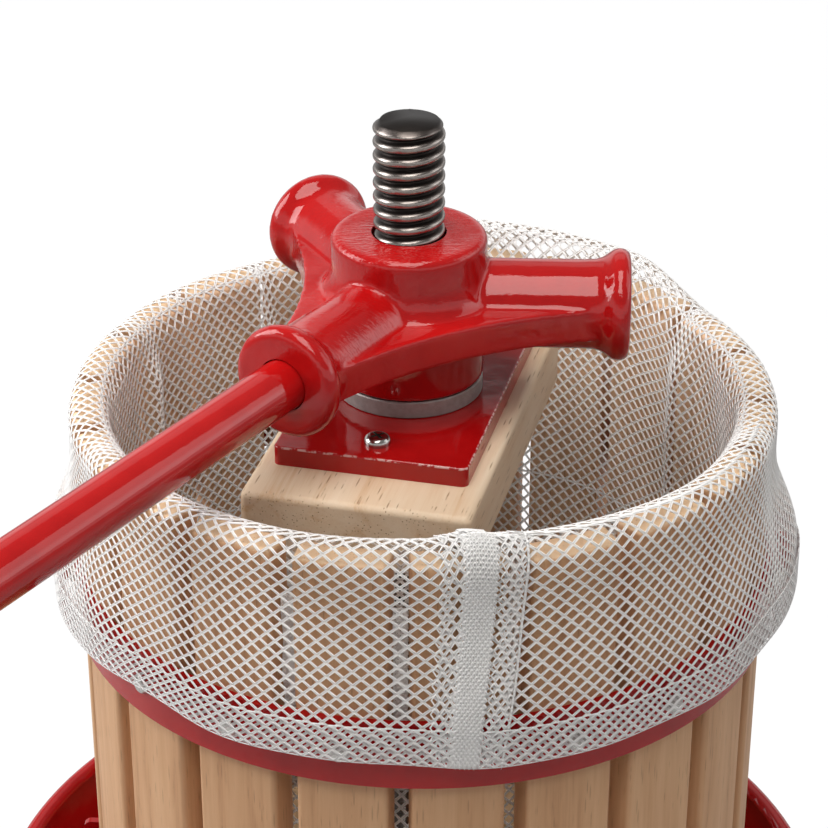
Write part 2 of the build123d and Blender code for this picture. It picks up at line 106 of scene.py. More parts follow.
# %% [markdown]
# ## Writing shader sums as Python
#
# A finish is a tree of nodes. Adding the nodes one by one hides the thought behind them, so a socket
# is wrapped in a small class, and `1 - mask` or `grain * 0.4` then adds the Math nodes. Every other
# node comes from one method, `node`, that takes its type, its settings and its inputs.

# %% A socket that can be added and multiplied
class Wire:
    """One output of a shader node, which takes part in sums."""

    def __init__(self, owner, socket):
        self.owner = owner
        self.socket = socket

    def maths(self, operation, first, second):
        return self.owner.node("Math", {"operation": operation}, {0: first, 1: second})

    def __add__(self, other):
        return self.maths("ADD", self, other)

    def __sub__(self, other):
        return self.maths("SUBTRACT", self, other)

    def __rsub__(self, other):
        return self.maths("SUBTRACT", other, self)

    def __mul__(self, other):
        return self.maths("MULTIPLY", self, other)

    def or_more(self, other):
        return self.maths("MAXIMUM", self, other)


print("sums are made by Wire")

# %% A shader tree and its node maker
class Shading:
    """The nodes of a material or a world, and short ways to add to them."""

    def __init__(self, holder):
        holder.use_nodes = True
        self.tree = holder.node_tree

    def put(self, socket, value):
        if isinstance(value, Wire):
            self.tree.links.new(value.socket, socket)
        else:
            socket.default_value = value

    def node(self, kind, settings, values, output=0):
        made = self.tree.nodes.new("ShaderNode" + kind)
        for key, value in settings.items():
            setattr(made, key, value)
        for key, value in values.items():
            self.put(made.inputs[key], value)
        return Wire(self, made.outputs[output])

    def vector_maths(self, operation, first, second):
        return self.node("VectorMath", {"operation": operation}, {0: first, 1: second})

    def ramp(self, value, *stops):
        """A colour for every value, from stops that each give a place and a colour."""
        wire = self.node("ValToRGB", {}, {"Fac": value})
        elements = wire.socket.node.color_ramp.elements
        while len(elements) < len(stops):
            elements.new(1.0)
        for element, (place, colour) in zip(elements, stops):
            element.position = place
            element.color = (*colour, 1.0)
        return wire

    def grey_ramp(self, value, *stops):
        return self.ramp(value, *[(place, (level, level, level)) for place, level in stops])

    def mix(self, factor, first, second):
        settings = {"data_type": "RGBA", "blend_type": "MIX"}
        return self.node("Mix", settings, {0: factor, 6: first, 7: second}, 2)

    def rays(self):
        """Whether a ray comes from the camera, from a mirror or through a clear piece."""
        path = self.node("LightPath", {}, {}).socket.node
        names = ("Is Camera Ray", "Is Glossy Ray", "Is Transmission Ray")
        return [Wire(self, path.outputs[name]) for name in names]

    def show(self, wire, output_node):
        self.put(self.tree.nodes[output_node].inputs["Surface"], wire)


print("shader trees are made by Shading")

# %% A finish, with its places and noises
class Finish(Shading):
    """A material with a Principled shader."""

    def __init__(self, name, **constants):
        self.material = bpy.data.materials.new(name)
        super().__init__(self.material)
        self.shader = self.tree.nodes["Principled BSDF"]
        for socket_name, value in constants.items():
            self.feed(socket_name.replace("_", " "), value)

    def feed(self, socket_name, value):
        self.put(self.shader.inputs[socket_name], value)

    def bump(self, height_mm):
        values = {"Height": height_mm, "Distance": MM, "Strength": 1.0}
        self.feed("Normal", self.node("Bump", {}, values))

    def place(self, scale=(1.0, 1.0, 1.0), turn=0.0):
        """Object coordinates in metres, turned about Z and then stretched."""
        where = self.node("TexCoord", {}, {}, 3)
        turned = self.node("Mapping", {}, {"Vector": where, "Rotation": (0.0, 0.0, turn)})
        return self.node("Mapping", {}, {"Vector": turned, "Scale": scale})

    def along(self, where, axis):
        return self.node("SeparateXYZ", {}, {0: where}, "xyz".index(axis))

    def reach(self, where):
        """Distance of a place from the upright axis through the origin."""
        flat = self.vector_maths("MULTIPLY", where, (1.0, 1.0, 0.0))
        return self.node("VectorMath", {"operation": "LENGTH"}, {0: flat}, 1)

    def noise(self, where, scale, detail=3.0, rough=0.5, distortion=0.0):
        """Noise with about this many features to the metre."""
        values = {"Scale": scale, "Detail": detail, "Roughness": rough, "Distortion": distortion}
        return self.node("TexNoise", {}, {"Vector": where, **values})


def rgb(red, green, blue):
    """A colour with full alpha, in linear light."""
    return (red, green, blue, 1.0)


def dimmed(colour, share):
    return tuple(share * level for level in colour)


print("finishes are made by Finish")

# %% [markdown]
# ## Red enamel
#
# The nut, lever, plate and hoops are dipped or sprayed in a thick glossy red. A plain red with low
# roughness would look like plastic. What tells enamel on cast iron is its skin: long soft waves
# from the casting, fine orange peel on top, and a colour that deepens where the paint ran thick.
# One recipe makes four finishes, for the rough casting, the smooth tube, the flat steel, and the
# pressure plate, whose paint is dimmed as painted shade from the nut above it, and whose upper edge
# has chips with a painted highlight along them. On the casting the paint has run most on the boss's
# top and on the left, and least on the right arm, where the highlight has clean edges.

# %% Colours and scales of the enamel
enamel_stops = (
    (0.30, (0.37, 0.0035, 0.0045)),
    (0.52, (0.44, 0.0055, 0.0060)),
    (0.78, (0.49, 0.0085, 0.0080)),
)
# Colour of the plate's top edge: bare chips, and also a painted highlight along that edge
chip_and_edge_highlight_colour = rgb(0.66, 0.46, 0.43)
chip_and_highlight_cover = 0.7
chip_and_highlight_band = 900.0
ripple_fade = 5.0 * MM
left_fade = 125.0 * MM
thick_scale, wave_scale, peel_scale = 38.0, 95.0, 620.0
run_scale, patch_scale, chip_scale = 240.0, 30.0, 420.0
plate_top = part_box("pressure_plate")[1].z


def chips_and_painted_highlight(finish, colour, where, above_edge):
    """Bare spots on the last millimetre below an upper edge, which also serve as a painted highlight
    there.
    """
    band = above_edge * chip_and_highlight_band + 1.0
    edge = finish.grey_ramp(band, (0.05, 0.0), (0.30, 1.0), (0.80, 1.0), (0.95, 0.0))
    chips = finish.grey_ramp(finish.noise(where, chip_scale), (0.47, 0.0), (0.56, 1.0))
    return finish.mix(edge * chips * chip_and_highlight_cover, colour, chip_and_edge_highlight_colour)


print("enamel of", len(enamel_stops), "depths")

# %% Enamel for the casting, the tube, the flat steel, and the plate with painted shade and edge highlight
def enamel(
    name, wave_mm, peel_mm, run_mm, depth=1.0, rippled_above=0.0, left_runs=0.0, chipped_and_highlit_below=None
):
    """Thick gloss paint that has run above one level and on the left, and has chips at another.

    A depth below 1 dims it as painted shade, and the chips also paint a highlight on that edge.
    """
    finish = Finish(name, IOR=1.47)
    where = finish.place()
    level = finish.along(where, "z")
    thick = finish.noise(where, thick_scale, detail=4.0, rough=0.6)
    # A depth below 1 dims the paint; on the plate this is painted shade
    colour = finish.ramp(thick, *[(place, dimmed(paint, depth)) for place, paint in enamel_stops])
    if chipped_and_highlit_below is not None:
        # The top edge gets chips that are partly a painted highlight
        colour = chips_and_painted_highlight(finish, colour, where, level - chipped_and_highlit_below)
    finish.feed("Base Color", colour)
    finish.feed("Roughness", thick * 0.05 + 0.035)
    wave = finish.noise(where, wave_scale, detail=1.0)
    peel = finish.noise(where, peel_scale, detail=2.0)
    drawn = finish.place(scale=(1.0, 3.0, 1.0))
    runs = finish.noise(drawn, run_scale, detail=2.0, distortion=0.6)
    patchy = finish.noise(where, patch_scale, detail=2.0)
    patchy = finish.grey_ramp(patchy, (0.42, 0.25), (0.62, 1.0))
    above = (level - rippled_above) * (1.0 / ripple_fade)
    amount = finish.grey_ramp(above, (0.0, 0.18), (0.5, 1.0))
    if left_runs > 0.0:
        left = 0.5 - finish.along(where, "x") * (1.0 / left_fade)
        amount = amount + finish.grey_ramp(left, (0.3, 0.0), (0.7, left_runs))
    finish.bump(wave * wave_mm + peel * peel_mm + runs * patchy * amount * run_mm)
    return finish.material


boss_top_from = hub_high.z - 4.0 * MM
cast_enamel = enamel("cast_enamel", 0.15, 0.010, 0.360, rippled_above=boss_top_from, left_runs=0.3)
tube_enamel = enamel("tube_enamel", 0.10, 0.004, 0.010)
plate_enamel = enamel("plate_enamel", 0.14, 0.008, 0.040)
# The plate's paint is dimmed to 0.78 as painted shade from the nut, and its top edge has chips and a
# painted highlight
worn_and_shaded_enamel = enamel("worn_and_shaded_enamel", 0.16, 0.010, 0.060, depth=0.78, chipped_and_highlit_below=plate_top)
print("enamel", cast_enamel.name, tube_enamel.name, plate_enamel.name, worn_and_shaded_enamel.name)

# %% [markdown]
# ## Steel
#
# The screw is rolled steel that has been oiled. Its colour is darker in the roots as painted shade,
# and brighter on the crests as painted highlight. Height can't tell crest from root on a helix, but
# the distance from the screw's axis can, and the axis is the origin, so the length of the flat part
# of the position gives it.

# %% Dark screw steel, with painted shade in the roots and painted highlight on the crests
crest_r = 15.0 * MM
root_r = 12.0 * MM
grime_scale, roll_line_scale = 260.0, 320.0
# Colours from root to crest: the dark roots are painted shade, the bright crests a painted highlight
root_shade_crest_highlight_stops = (
    (0.15, (0.030, 0.025, 0.023)),
    (0.62, (0.13, 0.112, 0.104)),
    (0.98, (0.47, 0.425, 0.395)),
)


def screw_steel():
    finish = Finish("screw_steel", Metallic=1.0)
    crest = (finish.reach(finish.place()) - root_r) * (1.0 / (crest_r - root_r))
    grime = finish.noise(finish.place(scale=(1.0, 1.0, 3.0)), grime_scale, detail=4.0)
    # The colour follows the crest share: painted shade low on the tooth, painted highlight on the
    # crest
    finish.feed("Base Color", finish.ramp(crest * 0.85 + grime * 0.30 - 0.12, *root_shade_crest_highlight_stops))
    finish.feed("Roughness", finish.grey_ramp(crest + grime * 0.25, (0.2, 0.46), (1.0, 0.24)))
    lines = finish.noise(finish.place(scale=(1.0, 1.0, 22.0)), roll_line_scale, detail=2.0)
    finish.bump(lines * 0.04 + grime * 0.03)
    return finish.material


screw_finish = screw_steel()
print("steel", screw_finish.name)

# %% Plated fasteners and the turned grey washer
plate_cloud_scale, tool_line_scale = 420.0, 300.0


def plated(name, dark, light, roughness, turning):
    """Clouded plating; turning draws the tool's lines out round an upright axis."""
    finish = Finish(name, Metallic=1.0)
    cloud = finish.noise(finish.place(), plate_cloud_scale)
    finish.feed("Base Color", finish.ramp(cloud, (0.25, dark), (0.75, light)))
    finish.feed("Roughness", cloud * 0.16 + roughness)
    lines = finish.noise(finish.place(scale=(1.0, 1.0, turning)), tool_line_scale, detail=2.0)
    finish.bump(lines * 0.03)
    return finish.material


zinc_finish = plated("zinc_plate", (0.50, 0.50, 0.48), (0.66, 0.65, 0.62), 0.20, 1.0)
bright_finish = plated("bright_plate", (0.36, 0.35, 0.34), (0.52, 0.50, 0.48), 0.12, 1.0)
washer_finish = plated("turned_washer", (0.29, 0.265, 0.255), (0.39, 0.360, 0.345), 0.50, 14.0)
print("plated", zinc_finish.name, bright_finish.name, washer_finish.name)

# %% [markdown]
# ## Wood
#
# Staves are planed from pale timber, with fine upright grain and a few darker streaks. The block
# under the plate is a lighter, coarser wood, and its pores are open: on the sides they are short
# dashes, and on the sawn end they are dots. One stretched texture gives both, because a cut across a
# bundle of long thin cells shows dots and a cut along it shows dashes.

# %% Paler sawn tops, and painted light on the inner faces, for the staves
sawn_top = rgb(0.86, 0.640, 0.420)
# Lighter wood for the inner faces: painted light for the light inside the basket
inside_painted_light = rgb(0.86, 0.580, 0.370)
top_band = 10.0 * MM
inside_light_band = 4.0 * MM


def sawn_tops_and_painted_light_inside(finish, base, fine):
    """The staves' wood, paler on the sawn tops, which lie at the rim, and lighter on the inner faces
    as painted light.
    """
    where = finish.place()
    above = (finish.along(where, "z") - rim_z) * (1.0 / top_band)
    top = finish.grey_ramp(above + 1.0 + fine * 0.1, (0.90, 0.0), (0.98, 1.0))
    topped = finish.mix(top * 0.85, base, sawn_top)
    # The inner faces are made lighter: painted light
    reach = finish.reach(finish.vector_maths("SUBTRACT", where, (basket_x, 0.0, 0.0)))
    within = (stave_inner_r + inside_light_band - reach) * (1.0 / inside_light_band)
    inside = finish.grey_ramp(within, (0.0, 0.0), (0.6, 1.0))
    return finish.mix(inside * 0.9, topped, inside_painted_light)


print("sawn tops reach", round(top_band / MM), "mm down")

# %% Planed wood for the staves, and open-pored wood for the block and boards
band_scale, fine_scale, tone_scale, pore_scale, pore_patch_scale = 95.0, 900.0, 24.0, 640.0, 120.0
band_draw, fine_draw, pore_draw = 0.07, 0.035, 0.080
pore_shade = 0.52


def drawn_along(along, share):
    """A scale that draws a texture out along one axis."""
    return tuple(share if axis == along else 1.0 for axis in "xyz")


def open_pores(finish, where):
    values = {"Vector": where, "Scale": pore_scale, "Randomness": 1.0}
    cells = finish.node("TexVoronoi", {"feature": "F1"}, values)
    patch = finish.noise(finish.place(), pore_patch_scale, detail=2.0)
    opened = finish.grey_ramp(cells, (0.13, 1.0), (0.25, 0.0))
    return opened * finish.grey_ramp(patch, (0.36, 0.0), (0.50, 1.0))


def planed_wood(name, along, turn, pale, mid, streak, pore_depth, in_basket=False):
    """Wood with its grain along one axis; in the basket, tops are paler and inner faces have painted
    light.
    """
    finish = Finish(name)
    band_place = finish.place(drawn_along(along, band_draw), turn)
    bands = finish.noise(band_place, band_scale, detail=4.0, rough=0.6, distortion=0.5)
    fine = finish.noise(finish.place(drawn_along(along, fine_draw), turn), fine_scale, rough=0.65)
    tone = finish.noise(finish.place((1.0, 1.0, 0.3), turn), tone_scale, detail=2.0)
    grain = bands * 0.62 + fine * 0.22 + tone * 0.22
    base = finish.ramp(grain, (0.34, streak), (0.48, mid), (0.66, pale))
    if in_basket:
        base = sawn_tops_and_painted_light_inside(finish, base, fine)
    pores = open_pores(finish, finish.place(drawn_along(along, pore_draw), turn)) * pore_depth
    finish.feed("Base Color", finish.mix(pores, base, rgb(*dimmed(streak, pore_shade))))
    finish.feed("Roughness", fine * 0.22 + 0.46)
    finish.bump(fine * 0.10 + bands * 0.05 - pores * 0.16)
    return finish.material


print("wood with", pore_scale, "pores to the metre")

# %% The three woods
grain_turn = math.radians(14.0)
stave_colours = (0.72, 0.440, 0.245), (0.63, 0.355, 0.185), (0.46, 0.230, 0.108)
block_colours = (0.70, 0.565, 0.415), (0.65, 0.490, 0.335), (0.54, 0.335, 0.180)
board_colours = (0.66, 0.460, 0.270), (0.57, 0.375, 0.205), (0.44, 0.250, 0.120)
stave_finish = planed_wood("stave_wood", "z", 0.0, *stave_colours, 0.35, in_basket=True)
block_finish = planed_wood("block_wood", "y", grain_turn, *block_colours, 0.80)
board_finish = planed_wood("board_wood", "y", 0.0, *board_colours, 0.60)
print("wood", stave_finish.name, block_finish.name, board_finish.name)

# %% [markdown]
# ## Net thread, rubber and plastic
#
# The bag is knotted from white synthetic thread. Close up it is bundles of fine filaments, so it
# scatters light and has a soft sheen but no sharp gloss. The seal and the lever's plug are black.

# %% Thread, rubber and plastic
fibre_scale, soil_scale, polymer_scale = 1500.0, 30.0, 500.0
thread_stops = (0.30, (0.89, 0.885, 0.88)), (0.62, (0.95, 0.945, 0.94))
polymer_stops = (0.3, (0.018, 0.018, 0.018)), (0.7, (0.035, 0.034, 0.033))


def net_thread():
    finish = Finish("net_thread", Sheen_Weight=0.25)
    where = finish.place()
    fibre = finish.noise(where, fibre_scale, detail=2.0)
    soil = finish.noise(where, soil_scale)
    finish.feed("Base Color", finish.ramp(fibre * 0.5 + soil * 0.5, *thread_stops))
    finish.feed("Roughness", fibre * 0.2 + 0.45)
    finish.bump(fibre * 0.10)
    return finish.material


def black_polymer(name, roughness):
    finish = Finish(name)
    cloud = finish.noise(finish.place(), polymer_scale)
    finish.feed("Base Color", finish.ramp(cloud, *polymer_stops))
    finish.feed("Roughness", cloud * 0.2 + roughness)
    finish.bump(cloud * 0.04)
    return finish.material


net_finish = net_thread()
rubber_finish = black_polymer("seal_rubber", 0.60)
plug_finish = black_polymer("plug_plastic", 0.35)
print("thread and polymers", net_finish.name, rubber_finish.name, plug_finish.name)

# %% [markdown]
# ## Giving the solids their finishes
#
# A solid whose shape is right keeps its mesh and only takes a better finish. The record already
# says which slot each node belongs to, so the slot picks the finish, and a few nodes that look
# different in the photograph are named one by one.

# %% Paint the solids
finish_of_slot = {
    "red_enamel": plate_enamel,
    "dark_steel": screw_finish,
    "grey_steel": washer_finish,
    "zinc_steel": zinc_finish,
    "stave_wood": stave_finish,
    "pale_wood": board_finish,
    "white_net": net_finish,
    "black_rubber": rubber_finish,
    "black_plastic": plug_finish,
}
finish_of_node = {
    "lever": tube_enamel,
    "pressure_plate": worn_and_shaded_enamel,
    "pressure_block": block_finish,
    "plate_screws": bright_finish,
}


def paint(piece, material):
    piece.data.materials.clear()
    piece.data.materials.append(material)


for row in frame["record"]["subparts"]:
    by_slot = finish_of_slot[row["material_slot"]]
    paint(nodes[row["node"]], finish_of_node.get(row["node"], by_slot))

# %% [markdown]
# ## The cast nut
#
# The real nut is one iron casting: a boss, three tubular arms with a thick lip, and a web with
# hollowed edges that ties the arms together. Where they meet, sand casting leaves broad soft
# fillets. Beveling the edges of a union is fragile, so the plain forms are made a little full,
# joined, wrapped in one even skin with a voxel remesh, and then smoothed until the corners flow.

# %% Helpers for working by hand
def start_fresh():
    if bpy.context.object and bpy.context.object.mode != "OBJECT":
        bpy.ops.object.mode_set(mode="OBJECT")
    bpy.ops.object.select_all(action="DESELECT")


def only(piece):
    start_fresh()
    piece.select_set(True)
    bpy.context.view_layer.objects.active = piece


def apply_modifier(piece, kind, **settings):
    only(piece)
    bpy.ops.object.modifier_add(type=kind)
    modifier = piece.modifiers[-1]
    for key, value in settings.items():
        setattr(modifier, key, value)
    bpy.ops.object.modifier_apply(modifier=modifier.name)


def settle(piece):
    """Puts the piece's place, turn and size into its mesh."""
    only(piece)
    bpy.ops.object.transform_apply(location=True, rotation=True, scale=True)


print("helpers for one step ready")

# %% Helpers for whole pieces
def join(keeper, others):
    start_fresh()
    for part in [keeper, *others]:
        part.select_set(True)
    bpy.context.view_layer.objects.active = keeper
    bpy.ops.object.join()


def face_outward(piece):
    only(piece)
    bpy.ops.object.mode_set(mode="EDIT")
    bpy.ops.mesh.select_all(action="SELECT")
    bpy.ops.mesh.normals_make_consistent(inside=False)
    bpy.ops.object.mode_set(mode="OBJECT")


def drawn_out(name, profile, sides):
    """A round form along +Z: a disc whose rim is extruded and resized ring by ring."""
    start_fresh()
    first_z, first_r = profile[0]
    bpy.ops.mesh.primitive_circle_add(
        vertices=sides, radius=first_r, fill_type="NGON", location=(0.0, 0.0, first_z)
    )
    piece = bpy.context.object
    piece.name = name
    settle(piece)
    bpy.ops.object.mode_set(mode="EDIT")
    for (low_z, low_r), (high_z, high_r) in zip(profile, profile[1:]):
        step = (0.0, 0.0, high_z - low_z)
        bpy.ops.mesh.extrude_region_move(TRANSFORM_OT_translate={"value": step})
        share = high_r / low_r
        bpy.ops.transform.resize(value=(share, share, 1.0))
    face_outward(piece)
    return piece


def triangles(piece):
    return sum(len(face.vertices) - 2 for face in piece.data.polygons)


print("helpers for whole pieces ready")

# %% Boss with a soft shoulder and a foot that spreads onto the web
hub_bottom = washer_top + 0.1 * MM
hub_top = hub_high.z
boss_sides = 64
boss_from_bottom = [
    (0.0, 30.6), (1.4, 32.0), (22.0, 32.2), (25.5, 36.0), (37.0, 37.5), (43.0, 34.0), (48.0, 32.8),
]
boss_from_top = [(3.0, 32.9), (1.0, 31.8), (0.0, 29.8)]
boss_profile = [(hub_bottom + rise * MM, r * MM) for rise, r in boss_from_bottom]
boss_profile += [(hub_top - drop * MM, r * MM) for drop, r in boss_from_top]
boss = drawn_out("boss", boss_profile, boss_sides)
print("boss", len(boss.data.polygons), "faces")

# %% Three arms with thick lips
arm_sides = 48
arm_outline = [
    (6.0, 18.8), (74.0, 18.8), (78.5, 19.1), (81.5, 20.0), (83.5, 21.6), (85.5, 23.1),
    (88.0, 23.8), (90.5, 23.4), (92.2, 22.0), (92.8, 20.0), (92.9, 13.0),
]
arm_profile = [(out * MM, r * MM) for out, r in arm_outline]


def lay_out(piece, angle):
    """Lays an upright form along an arm."""
    piece.rotation_euler = (0.0, math.pi / 2, angle)
    piece.location = (0.0, 0.0, arm_z)
    settle(piece)
    return piece


arms = [lay_out(drawn_out("arm", arm_profile, arm_sides), angle) for angle in arm_angles]
print("arms", len(arms))

# %% How far the web reaches, pulled in between the arms
web_low = hub_bottom + 23.4 * MM
web_height = 14.5 * MM
web_end = 84.0 * MM
web_half_end = 17.0 * MM
web_waist = 45.0 * MM
web_sides = 180


def web_reach(turn):
    """Distance from the axis to the web's edge, at a turn counted from the nearest arm."""
    across = abs((math.degrees(turn) + 60.0) % 120.0 - 60.0)
    end_turn = math.degrees(math.atan2(web_half_end, web_end))
    if across <= end_turn:
        return web_end / math.cos(math.radians(across))
    corner = Vector((web_end, web_half_end))
    waist = Vector((math.cos(math.pi / 3), math.sin(math.pi / 3))) * web_waist
    mirror = Vector((math.cos(math.pi / 1.5), math.sin(math.pi / 1.5)))
    far_corner = mirror * web_end + Vector((mirror.y, -mirror.x)) * web_half_end
    chord = (corner + far_corner) / 2
    sag = (chord - waist).length
    half_chord = (far_corner - corner).length / 2
    radius = (half_chord**2 + sag**2) / (2 * sag)
    centre = waist + waist.normalized() * radius
    ray = Vector((math.cos(math.radians(across)), math.sin(math.radians(across))))
    along = ray.dot(centre)
    return along - math.sqrt(max(radius**2 - (centre.length_squared - along**2), 0.0))


print(f"web from {web_waist:.3f} to {web_end:.3f} m")

# %% The web, a round plate with that edge
start_fresh()
bpy.ops.mesh.primitive_circle_add(
    vertices=web_sides, radius=web_end, fill_type="NGON", location=(0.0, 0.0, web_low)
)
web = bpy.context.object
web.name = "web"
settle(web)
for vertex in web.data.vertices:
    turn = math.atan2(vertex.co.y, vertex.co.x)
    reach = web_reach(turn - arm_angles[0])
    vertex.co.x = reach * math.cos(turn)
    vertex.co.y = reach * math.sin(turn)
bpy.ops.object.mode_set(mode="EDIT")
bpy.ops.mesh.select_all(action="SELECT")
bpy.ops.mesh.extrude_region_move(TRANSFORM_OT_translate={"value": (0.0, 0.0, web_height)})
face_outward(web)
print("web", len(web.data.polygons), "faces")

# %% Where the casting flows: not on the collars, the foot, the crown or the web's lip
collar_from, collar_fade = 76.0 * MM, 8.0 * MM
foot_from, foot_fade = 3.0 * MM, 6.0 * MM
crown_from, crown_fade = 6.0 * MM, 8.0 * MM
lip_from, lip_fade, lip_least = 2.0 * MM, 5.0 * MM, 0.15


def clamped(value, least=0.0):
    return min(max(value, least), 1.0)


def flow(spot):
    """How much a point of the casting is smoothed, from 0 to 1."""
    reach = math.hypot(spot.x, spot.y)
    from_edge = abs(reach - web_reach(math.atan2(spot.y, spot.x) - arm_angles[0]))
    inner = clamped((collar_from - reach) / collar_fade)
    middle = clamped((spot.z - hub_bottom - foot_from) / foot_fade)
    below_top = clamped((hub_top - crown_from - spot.z) / crown_fade)
    return inner * middle * below_top * clamped((from_edge - lip_from) / lip_fade, lip_least)


print("collars stay crisp from", round(collar_from / MM), "mm out")

# %% Join, wrap in one skin and let the corners flow
skin_voxel = 1.05 * MM
flow_rounds, last_rounds = 10, 3
join(boss, [web, *arms])
casting = boss
casting.name = "cast_nut"
apply_modifier(casting, "REMESH", mode="VOXEL", voxel_size=skin_voxel)
soft_group = casting.vertex_groups.new(name="flowing")
for vertex in casting.data.vertices:
    soft_group.add([vertex.index], flow(vertex.co), "REPLACE")
apply_modifier(casting, "SMOOTH", factor=0.5, iterations=flow_rounds, vertex_group="flowing")
apply_modifier(casting, "SMOOTH", factor=0.5, iterations=last_rounds)
casting.vertex_groups.clear()
print("casting", len(casting.data.polygons), "faces")

# %% [markdown]
# The sockets and the screw's hole are machined after casting, so they are cut after the smoothing
# and keep sharp edges. The sleeve under the nut is turned steel and joins at the end.

# %% Bore the sockets and the screw's hole
socket_r = 11.1 * MM
socket_floor = 37.0 * MM
socket_past = 120.0 * MM
hole_r = 15.75 * MM
bore_sides, hole_sides = 64, 72
past, short_past = 20.0 * MM, 10.0 * MM


def cut(piece, tool):
    apply_modifier(piece, "BOOLEAN", operation="DIFFERENCE", solver="EXACT", object=tool)
    bpy.data.objects.remove(tool)


for angle in arm_angles:
    drill = drawn_out("drill", [(socket_floor, socket_r), (socket_past, socket_r)], bore_sides)
    cut(casting, lay_out(drill, angle))
hole = [(hub_bottom - past, hole_r), (hub_top + past, hole_r)]
cut(casting, drawn_out("reamer", hole, hole_sides))
print("bored", len(arm_angles), "sockets")

# %% Add the sleeve and hand the nut over
sleeve_low = hub_low.z
sleeve_r = 19.5 * MM
sleeve_outline = [(sleeve_low, sleeve_r), (hub_bottom + 1.0 * MM, sleeve_r)]
sleeve = drawn_out("sleeve", sleeve_outline, bore_sides)
sleeve_hole = [(sleeve_low - short_past, hole_r), (hub_bottom + past, hole_r)]
cut(sleeve, drawn_out("groove", sleeve_hole, hole_sides))
join(casting, [sleeve])
only(casting)
bpy.ops.object.shade_smooth_by_angle(angle=math.radians(38.0))
paint(casting, cast_enamel)
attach(casting, "nut")
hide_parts("nut_hub")
print("cast nut", triangles(casting), "triangles")

# %% [markdown]
# ## The screw
#
# The solid has a plain trapezoid for a tooth. The real thread is rolled, with round crests and narrow
# roots, and that roundness is what draws a bright line along every turn. One pitch of its outline is
# drawn as a chain of points, and a Screw modifier turns and lifts it about the axis. The shank below
# the thread is a copy of the solid, cut off where the new thread starts.

# %% Outline of one turn, from root to root
pitch = 6.0 * MM
thread_low = 306.0 * MM
thread_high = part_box("spindle")[1].z
turn_outline = [
    (0.0, 12.2), (0.5, 12.3), (0.9, 13.1), (1.2, 13.8), (1.6, 14.4), (2.1, 14.8), (2.6, 14.97),
    (3.4, 14.97), (3.9, 14.8), (4.4, 14.4), (4.8, 13.8), (5.1, 13.1), (5.5, 12.3), (6.0, 12.2),
]
outline_start = (turn_outline[0][1] * MM, 0.0, thread_low - 1.5 * pitch)
start_fresh()
bpy.ops.mesh.primitive_plane_add(size=MM, location=outline_start)
screw = bpy.context.object
screw.name = "rolled_screw"
settle(screw)
bpy.ops.object.mode_set(mode="EDIT")
bpy.ops.mesh.select_all(action="SELECT")
bpy.ops.mesh.merge(type="CENTER")
for (low_u, low_r), (high_u, high_r) in zip(turn_outline, turn_outline[1:]):
    step = ((high_r - low_r) * MM, 0.0, (high_u - low_u) * MM)
    bpy.ops.mesh.extrude_vertices_move(TRANSFORM_OT_translate={"value": step})
bpy.ops.object.mode_set(mode="OBJECT")
print("outline of", len(screw.data.vertices), "points")

# %% Sweep it and trim both ends
steps_a_turn = 40
merge_within = 0.01 * MM
screw_turns = math.ceil((thread_high - thread_low) / pitch) + 3
sweep = {"axis": "Z", "angle": 2 * math.pi, "screw_offset": pitch, "iterations": screw_turns}
apply_modifier(screw, "SCREW", **sweep, steps=steps_a_turn, render_steps=steps_a_turn)


def trim(piece, level, upward):
    """Merges a mesh, cuts it at a level, closes the cut and drops what lies beyond."""
    only(piece)
    bpy.ops.object.mode_set(mode="EDIT")
    bpy.ops.mesh.select_all(action="SELECT")
    bpy.ops.mesh.remove_doubles(threshold=merge_within)
    bpy.ops.mesh.select_all(action="SELECT")
    plane = {"plane_co": (0.0, 0.0, level), "plane_no": (0.0, 0.0, 1.0)}
    bpy.ops.mesh.bisect(**plane, use_fill=True, clear_outer=upward, clear_inner=not upward)
    bpy.ops.object.mode_set(mode="OBJECT")


trim(screw, thread_high, True)
trim(screw, thread_low, False)
print("thread of", screw_turns, "turns before the trim")

# %% Break the top edge, add the shank and hand the screw over
top_break = 2.4 * MM
for vertex in screw.data.vertices:
    reach = math.hypot(vertex.co.x, vertex.co.y)
    allowed = crest_r - top_break + max(thread_high - vertex.co.z, 0.0)
    if reach > allowed:
        vertex.co.x *= allowed / reach
        vertex.co.y *= allowed / reach
shank = bpy.data.objects.new("screw_shank", nodes["spindle"].data.copy())
bpy.context.scene.collection.objects.link(shank)
trim(shank, thread_low + pitch / 2, True)
join(screw, [shank])
face_outward(screw)
bpy.ops.object.shade_smooth_by_angle(angle=math.radians(50.0))
paint(screw, screw_finish)
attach(screw, "base")
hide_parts("spindle")
print("screw", triangles(screw), "triangles")

# %% [markdown]
# ## The net bag
#
# The bag is a tube of diamond net, sewn along one side. It lines the basket, folds over the staves'
# tops and hangs outside as a skirt that stands off over the hoops' bolted ears. A see-through
# picture of a net on a plain sheet would look flat where it folds, so the threads are real. A flat
# grid is poked, and its first edges are dissolved, which leaves diamonds. The grid is then rolled
# to the bag's shape, every diamond is inset a little, and a wire is put round each one: two wires
# side by side make the doubled thread that such a net shows.

# %% A flat sheet of diamonds
tiny = 1e-5


def spots_of(mesh):
    spots = np.zeros(len(mesh.vertices) * 3)
    mesh.vertices.foreach_get("co", spots)
    return spots.reshape(-1, 3)


def grid_edges(mesh):
    """Marks the straight edges of a poked unit grid, apart from its border."""
    spots = spots_of(mesh)
    ends = np.zeros(len(mesh.edges) * 2, dtype=int)
    mesh.edges.foreach_get("vertices", ends)
    first, second = spots[ends[0::2]], spots[ends[1::2]]
    run = np.abs(second - first)
    straight = (run[:, 0] < tiny) | (run[:, 1] < tiny)
    middle = (first + second) / 2
    border = np.any((middle[:, :2] < tiny) | (middle[:, :2] > 1.0 - tiny), axis=1)
    return straight & ~border


